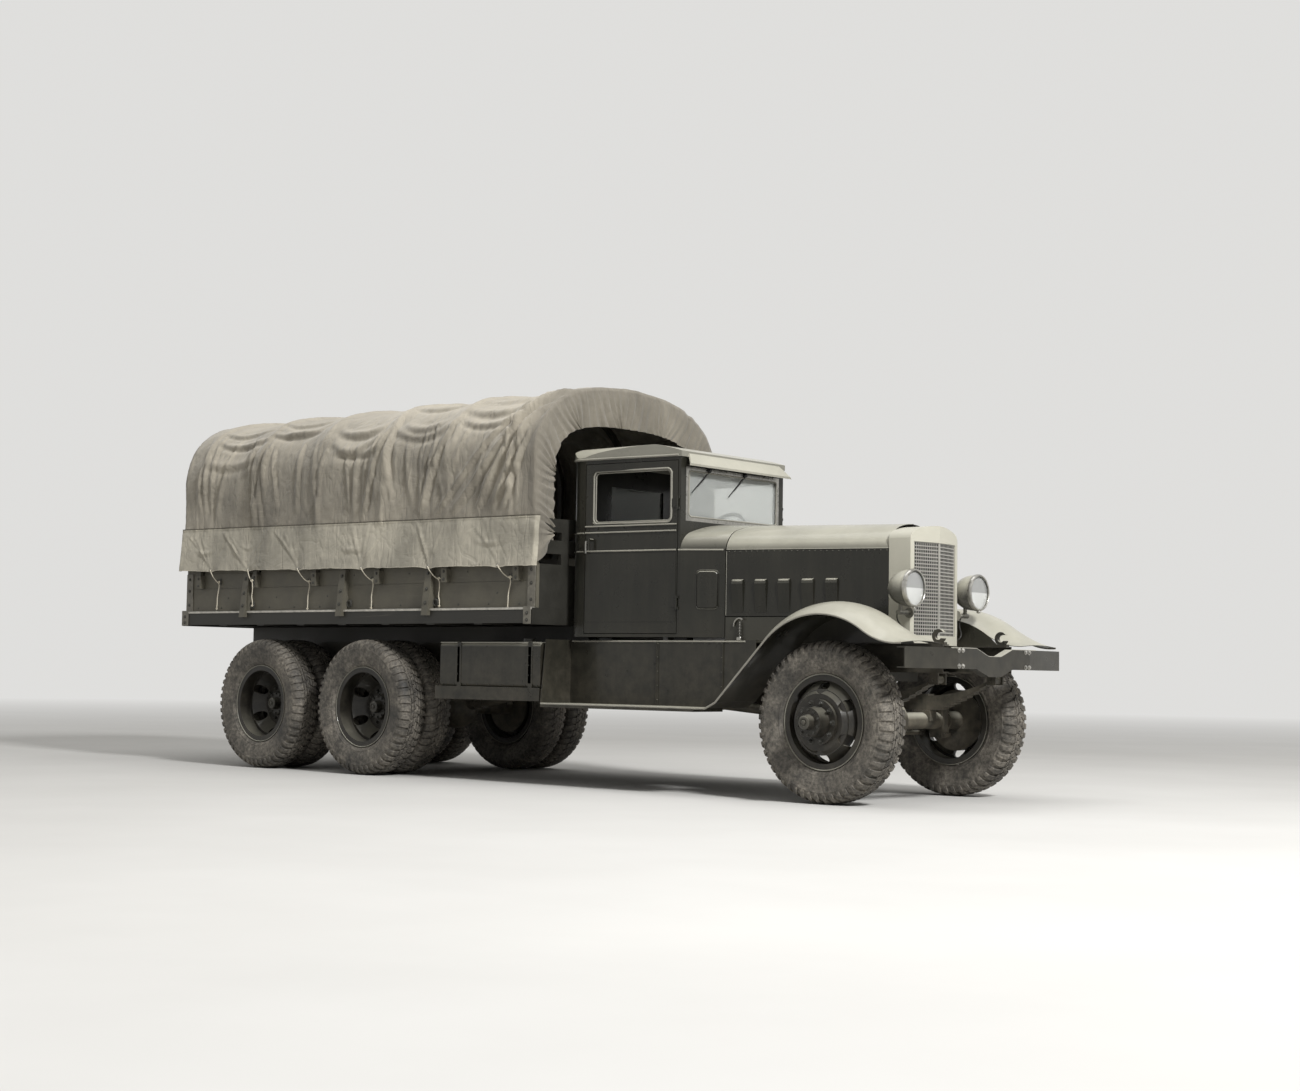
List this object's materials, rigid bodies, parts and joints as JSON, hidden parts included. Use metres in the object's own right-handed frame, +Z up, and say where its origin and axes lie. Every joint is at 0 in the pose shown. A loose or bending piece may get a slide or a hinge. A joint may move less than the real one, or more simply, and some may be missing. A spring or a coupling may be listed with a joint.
{
  "type": "military cargo truck",
  "caption": "Open-frame six-wheel-drive army cargo truck with long V-nosed hood, closed cab, slatted cargo body and a canvas cover on bows.",
  "frame": {"origin": "on the ground, under the middle of the truck's overall length and width", "axes": "+X forward, +Y to the truck's left, +Z up"},
  "size_m": [7.4918, 2.1486, 3.01],
  "materials": {
    "paint": "gloss olive drab enamel",
    "tyre": "worn black",
    "canvas": "heavy pale khaki duck",
    "body_timber": "painted olive drab",
    "bow_timber": "varnished",
    "leather": "satin black",
    "glass": "clear",
    "lamp_glass": "fluted clear",
    "bright_trim": "satin",
    "grille_steel": "satin",
    "chassis_black": "semi-gloss",
    "cast_iron": "painted",
    "control_black": "gloss black"
  },
  "bodies": {
    "truck": {"cab_body": "paint", "cab_glass": "glass", "cab_roof": "paint", "canvas_bows": "bow_timber", "canvas_cover": "canvas", "cargo_floor": "body_timber", "cargo_front_board": "body_timber", "cargo_sides": "body_timber", "cowl": "paint", "dashboard": "control_black", "driver_controls": "control_black", "engine_and_gearbox": "cast_iron", "frame": "chassis_black", "frame_crossmembers": "chassis_black", "front_axle": "chassis_black", "front_bumper": "paint", "front_fenders": "paint", "fuel_tanks": "paint", "headlight_lenses": "lamp_glass", "headlights": "paint", "leaf_springs": "chassis_black", "propeller_shafts": "chassis_black", "radiator_grille": "grille_steel", "radiator_shell": "paint", "rear_axles": "chassis_black", "running_boards": "paint", "seat_cushions": "leather", "towing_gear": "chassis_black", "transfer_case": "cast_iron", "windshield_frame": "bright_trim"},
    "steering_knuckle_left": {"steering_knuckle_left": "chassis_black"},
    "steering_knuckle_right": {"steering_knuckle_right": "chassis_black"},
    "tie_rod": {"tie_rod": "chassis_black"},
    "front_wheel_left": {"front_wheel_left": "paint", "front_tyre_left": "tyre"},
    "front_wheel_right": {"front_wheel_right": "paint", "front_tyre_right": "tyre"},
    "middle_wheel_left": {"middle_wheel_left": "paint", "middle_tyres_left": "tyre"},
    "middle_wheel_right": {"middle_wheel_right": "paint", "middle_tyres_right": "tyre"},
    "rear_wheel_left": {"rear_wheel_left": "paint", "rear_tyres_left": "tyre"},
    "rear_wheel_right": {"rear_wheel_right": "paint", "rear_tyres_right": "tyre"},
    "door_left": {"door_left": "paint"},
    "door_right": {"door_right": "paint"},
    "hood_top_left": {"hood_top_left": "paint"},
    "hood_top_right": {"hood_top_right": "paint"},
    "hood_side_left": {"hood_side_left": "paint"},
    "hood_side_right": {"hood_side_right": "paint"},
    "steering_wheel": {"steering_wheel": "control_black"},
    "tailgate": {"tailgate": "body_timber"}
  },
  "joints": [
    {"name": "steer_left", "type": "hinge", "parent": "truck", "child": "steering_knuckle_left", "pos_m": [2.974, 0.6, 0.53], "axis": [0, 0, 1], "range_deg": [-25, 25]},
    {"name": "front_wheel_left_spin", "type": "hinge", "parent": "steering_knuckle_left", "child": "front_wheel_left", "pos_m": [2.974, 0.756, 0.53], "axis": [0, 1, 0], "continuous": true},
    {"name": "middle_wheel_left_spin", "type": "hinge", "parent": "truck", "child": "middle_wheel_left", "pos_m": [-1.326, 0.7975, 0.53], "axis": [0, 1, 0], "continuous": true},
    {"name": "rear_wheel_left_spin", "type": "hinge", "parent": "truck", "child": "rear_wheel_left", "pos_m": [-2.596, 0.7975, 0.53], "axis": [0, 1, 0], "continuous": true},
    {"name": "door_left_hinge", "type": "hinge", "parent": "truck", "child": "door_left", "pos_m": [1.522, 0.612, 1.7], "axis": [0, 0, -1], "range_deg": [0, 70]},
    {"name": "hood_top_left_hinge", "type": "hinge", "parent": "truck", "child": "hood_top_left", "pos_m": [1.854, 0, 1.8975], "axis": [0.9996, 0, -0.0272], "range_deg": [0, 55]},
    {"name": "hood_side_left_hinge", "type": "hinge", "parent": "hood_top_left", "child": "hood_side_left", "pos_m": [1.854, 0.4675, 1.702], "axis": [0.9892, -0.1464, -0.0119], "range_deg": [0, 70]},
    {"name": "steer_right", "type": "hinge", "parent": "truck", "child": "steering_knuckle_right", "pos_m": [2.974, -0.6, 0.53], "axis": [0, 0, 1], "range_deg": [-25, 25]},
    {"name": "front_wheel_right_spin", "type": "hinge", "parent": "steering_knuckle_right", "child": "front_wheel_right", "pos_m": [2.974, -0.756, 0.53], "axis": [0, 1, 0], "continuous": true},
    {"name": "middle_wheel_right_spin", "type": "hinge", "parent": "truck", "child": "middle_wheel_right", "pos_m": [-1.326, -0.7975, 0.53], "axis": [0, 1, 0], "continuous": true},
    {"name": "rear_wheel_right_spin", "type": "hinge", "parent": "truck", "child": "rear_wheel_right", "pos_m": [-2.596, -0.7975, 0.53], "axis": [0, 1, 0], "continuous": true},
    {"name": "door_right_hinge", "type": "hinge", "parent": "truck", "child": "door_right", "pos_m": [1.522, -0.612, 1.7], "axis": [0, 0, 1], "range_deg": [0, 70]},
    {"name": "hood_top_right_hinge", "type": "hinge", "parent": "truck", "child": "hood_top_right", "pos_m": [1.854, 0, 1.8975], "axis": [-0.9996, 0, 0.0272], "range_deg": [0, 55]},
    {"name": "hood_side_right_hinge", "type": "hinge", "parent": "hood_top_right", "child": "hood_side_right", "pos_m": [1.854, -0.4675, 1.702], "axis": [-0.9892, -0.1464, 0.0119], "range_deg": [0, 70]},
    {"name": "tie_rod_pivot", "type": "hinge", "parent": "steering_knuckle_left", "child": "tie_rod", "pos_m": [2.784, 0.6, 0.44], "axis": [0, 0, 1], "range_deg": [-25, 25]},
    {"name": "steering_wheel_turn", "type": "hinge", "parent": "truck", "child": "steering_wheel", "pos_m": [1.204, 0.28, 1.85], "axis": [0.788, 0, -0.6157], "range_deg": [-450, 450]},
    {"name": "tailgate_hinge", "type": "hinge", "parent": "truck", "child": "tailgate", "pos_m": [-3.681, 0, 1.284], "axis": [0, -1, 0], "range_deg": [0, 90]}
  ],
  "couplings": [
    {"joint": "steer_right", "follows": "steer_left", "ratio": 1},
    {"joint": "tie_rod_pivot", "follows": "steer_left", "ratio": -1},
    {"joint": "steering_wheel_turn", "follows": "steer_left", "ratio": -18}
  ]
}
